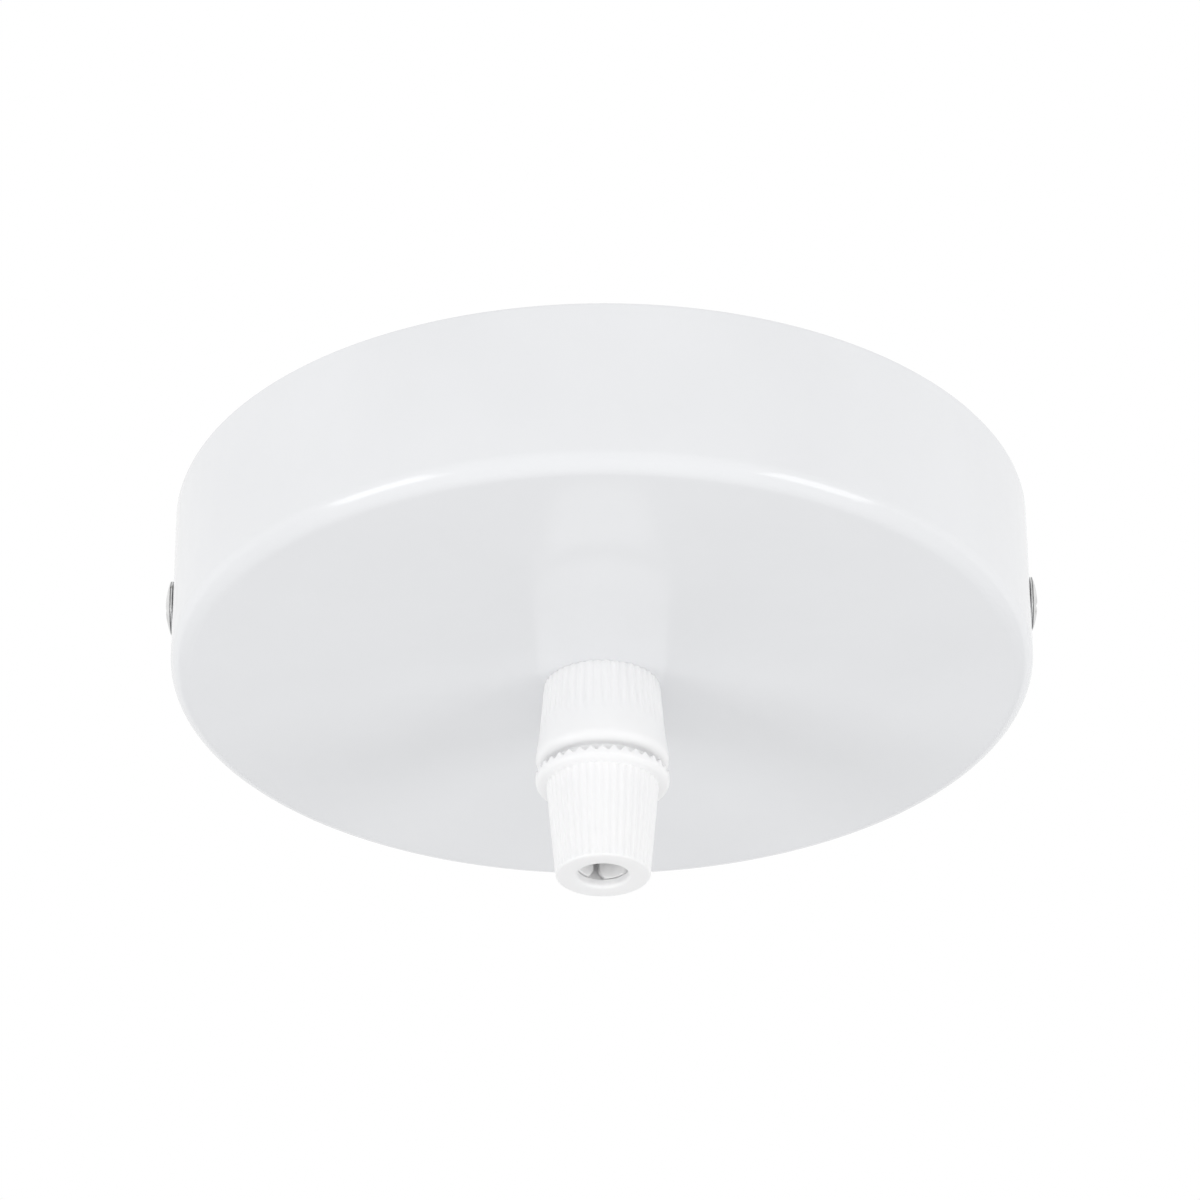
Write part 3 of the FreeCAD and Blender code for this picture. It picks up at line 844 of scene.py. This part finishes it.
# %% Nickel plate
nickel, tree, shader, place = finish("nickel_plate", {"Metallic": 1.0})
tone = mixed(tree, use(tree, mottle, place, Scale=500.0), srgb(214, 214, 214), srgb(234, 234, 233))
stain = use(tree, specks, place, Scale=900.0, Size=0.4, Share=0.07)
tree.links.new(mixed(tree, stain, tone, srgb(178, 177, 175)), shader.inputs["Base Color"])
rough(tree, shader, place, scale=420.0, low=0.26, high=0.42)
centred = add(tree, "ShaderNodeMapping", {
    "Vector": place, "Location": (0.0, 0.0, -hole_z * MM)})
rings = add(tree, "ShaderNodeTexWave", {
    "Vector": centred.outputs["Vector"], "Scale": 1500.0, "Distortion": 1.5, "Detail": 2.0},
    wave_type="RINGS", rings_direction="X")
bump(tree, shader, rings.outputs["Fac"], 0.1, 0.02)
report_finish(nickel)

# %% [markdown]
# The strap is cut from zinc-coated strip. Zinc freezes in flat crystals, so its grey changes from
# patch to patch, which a Voronoi pattern gives. The nut, its washer and the terminal block's fixing
# screw are zinc-plated too.

# %% Zinc-coated steel
zinc, tree, shader, place = finish("zinc_steel", {"Metallic": 1.0})
crystals = add(tree, "ShaderNodeTexVoronoi", {"Vector": place, "Scale": 260.0, "Randomness": 1.0})
patch = add(tree, "ShaderNodeSeparateColor", {"Color": crystals.outputs["Color"]})
tone = mixed(tree, patch.outputs["Red"], srgb(168, 172, 176), srgb(202, 205, 208))
dull = mixed(tree, use(tree, mottle, place, Scale=90.0), tone, srgb(178, 181, 184))
tree.links.new(dull, shader.inputs["Base Color"])
rough(tree, shader, place, scale=240.0, low=0.3, high=0.5)
bump(tree, shader, use(tree, grain, place, Scale=1500.0, Coarse_Share=0.7), 0.12, 0.03)
report_finish(zinc)

# %% [markdown]
# The terminal block is moulded in a pale grey plastic. Its inserts, their screws and the earth
# screw with its washer are brass, a warm yellow that darkens in patches.

# %% Terminal plastic and brass
moulded, tree, shader, place = finish("terminal_plastic", {"IOR": 1.5})
tone = mixed(tree, use(tree, mottle, place, Scale=150.0), srgb(214, 213, 208), srgb(224, 223, 219))
tree.links.new(tone, shader.inputs["Base Color"])
rough(tree, shader, place, scale=260.0, low=0.4, high=0.52)
bump(tree, shader, use(tree, grain, place, Scale=2200.0, Coarse_Share=0.4), 0.1, 0.03)
report_finish(moulded)

brass, tree, shader, place = finish("brass", {"Metallic": 1.0})
tone = mixed(tree, use(tree, mottle, place, Scale=300.0), srgb(196, 160, 92), srgb(222, 190, 122))
tree.links.new(tone, shader.inputs["Base Color"])
rough(tree, shader, place, scale=420.0, low=0.22, high=0.4)
bump(tree, shader, use(tree, grain, place, Scale=1900.0, Coarse_Share=0.5), 0.1, 0.02)
report_finish(brass)

# %% [markdown]
# Each piece already carries the name of its material slot, so one loop can give every piece its
# finish. Only the collet takes its own variant of the nylon, whose whiter colour is painted light.

# %% Give every piece its finish
FINISHES = {
    "white_paint": paint,
    "white_nylon": nylon,
    "nickel_plate": nickel,
    "zinc_steel": zinc,
    "terminal_plastic": moulded,
    "brass": brass,
}
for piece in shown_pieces():
    piece.data.materials.clear()
    # The collet's pieces take the whiter nylon, whose colour is painted light in the mouth.
    gets_painted_light = piece.name.startswith("grip_collet")
    piece.data.materials.append(collet_nylon_painted_light if gets_painted_light else FINISHES[piece["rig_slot"]])

# %% [markdown]
# ## Floor, light and camera
# The photograph looks up at the rose from below, on white. A pale floor lies far below, as in a
# room, and sends soft light back up. In mirror reflections it is a little greyer, so that the
# glossy paint keeps some depth.

# %% Floor
FLOOR_Z = -1.0
FLOOR_SIZE = 8
bpy.ops.object.select_all(action="DESELECT")
bpy.ops.mesh.primitive_plane_add(size=FLOOR_SIZE, location=(0, 0, FLOOR_Z))
floor = bpy.context.object
floor.name = "studio_floor"
bpy.ops.object.mode_set(mode="EDIT")
bpy.ops.mesh.subdivide(number_cuts=3)
bpy.ops.object.mode_set(mode="OBJECT")
floor_paint, tree, shader, place = finish("studio_floor_paint", {"Roughness": 0.9})
tone = mixed(tree, use(tree, mottle, place, Scale=1.2), srgb(245, 245, 245), srgb(249, 249, 249))
mirrored = add(tree, "ShaderNodeLightPath").outputs["Is Glossy Ray"]
tree.links.new(mixed(tree, mirrored, tone, srgb(216, 217, 219)), shader.inputs["Base Color"])
floor.data.materials.append(floor_paint)
report_finish(floor_paint)

# %% [markdown]
# The world is plain white for the camera, as a studio backdrop is, and a softer white as a light.
# Reflections see walls that are darker behind the camera, which shapes the rounded edge of the cup.

# %% World
AMBIENT = 0.765
WALL_BEHIND = 0.7
WALL_ASIDE = 0.95


def grey(level):
    """A neutral colour."""
    return (level, level, level, 1)


world = bpy.data.worlds.new("studio")
bpy.context.scene.world = world
world.use_nodes = True
tree = world.node_tree
tree.nodes.clear()
path = add(tree, "ShaderNodeLightPath").outputs
seen = maths(tree, "MAXIMUM", path["Is Camera Ray"], path["Is Transmission Ray"])
way = add(tree, "ShaderNodeSeparateXYZ", {0: add(tree, "ShaderNodeTexCoord").outputs["Generated"]})
ahead = add(tree, "ShaderNodeMapRange", {
    "Value": way.outputs["Y"], "From Min": -0.45, "From Max": -0.25})
walls = mixed(tree, ahead.outputs["Result"], grey(WALL_BEHIND), grey(WALL_ASIDE))
lit = mixed(tree, path["Is Glossy Ray"], grey(AMBIENT), walls)
shown = mixed(tree, seen, lit, grey(1))
glow = add(tree, "ShaderNodeBackground", {"Color": shown, "Strength": 1.0})
add(tree, "ShaderNodeOutputWorld", {"Surface": glow.outputs["Background"]})
print("world:", len(tree.nodes), "nodes")

# %% [markdown]
# Two large soft lamps stand low on the left and right of the camera and make the two highlights on
# the cup's edge. A third, below the camera, fills the mouth of the grip. It is kept out of
# reflections, so it adds no highlight of its own.

# %% Lamps
AIM = Vector((-0.00022, 0.0, -0.011))


def lamp(name, azimuth, height, distance, size, power):
    """A square soft lamp at an angle from the camera's side, facing the rose."""
    turn = math.radians(azimuth)
    bpy.ops.object.light_add(type="AREA", location=(
        distance * math.sin(turn), -distance * math.cos(turn), height))
    made = bpy.context.object
    made.name = name
    made.data.size = size
    made.data.energy = power
    made.rotation_euler = (AIM - made.location).to_track_quat("-Z", "Y").to_euler()
    print(name, "at", [round(v, 3) for v in made.location])
    return made


lamp("lamp_left", azimuth=-56, height=-0.35, distance=0.85, size=0.42, power=1.75)
lamp("lamp_right", azimuth=56, height=-0.35, distance=0.85, size=0.42, power=1.62)
front = lamp("lamp_front", azimuth=0, height=-0.6, distance=0.78, size=0.7, power=0.7)
front.visible_glossy = False

# %% [markdown]
# The lens, the distance and the angles were worked out from the outlines of the cup in the
# photograph, so the two pictures can be laid over each other.

# %% Camera at the photograph's angle
DISTANCE = 0.731
ELEVATION = math.radians(-29.5)
ROLL = math.radians(-0.3)
bpy.ops.object.camera_add(location=AIM + Vector((
    0.0, -DISTANCE * math.cos(ELEVATION), DISTANCE * math.sin(ELEVATION))))
camera = bpy.context.object
aimed = (AIM - camera.location).to_track_quat("-Z", "Y")
camera.rotation_euler = (aimed @ Quaternion((0, 0, 1), ROLL)).to_euler()
camera.data.sensor_width = 36.0
camera.data.lens = 156.0
camera.data.clip_start = 0.01
bpy.context.scene.camera = camera
bpy.context.scene.view_settings.view_transform = "Standard"
print("camera at", [round(v, 4) for v in camera.location])
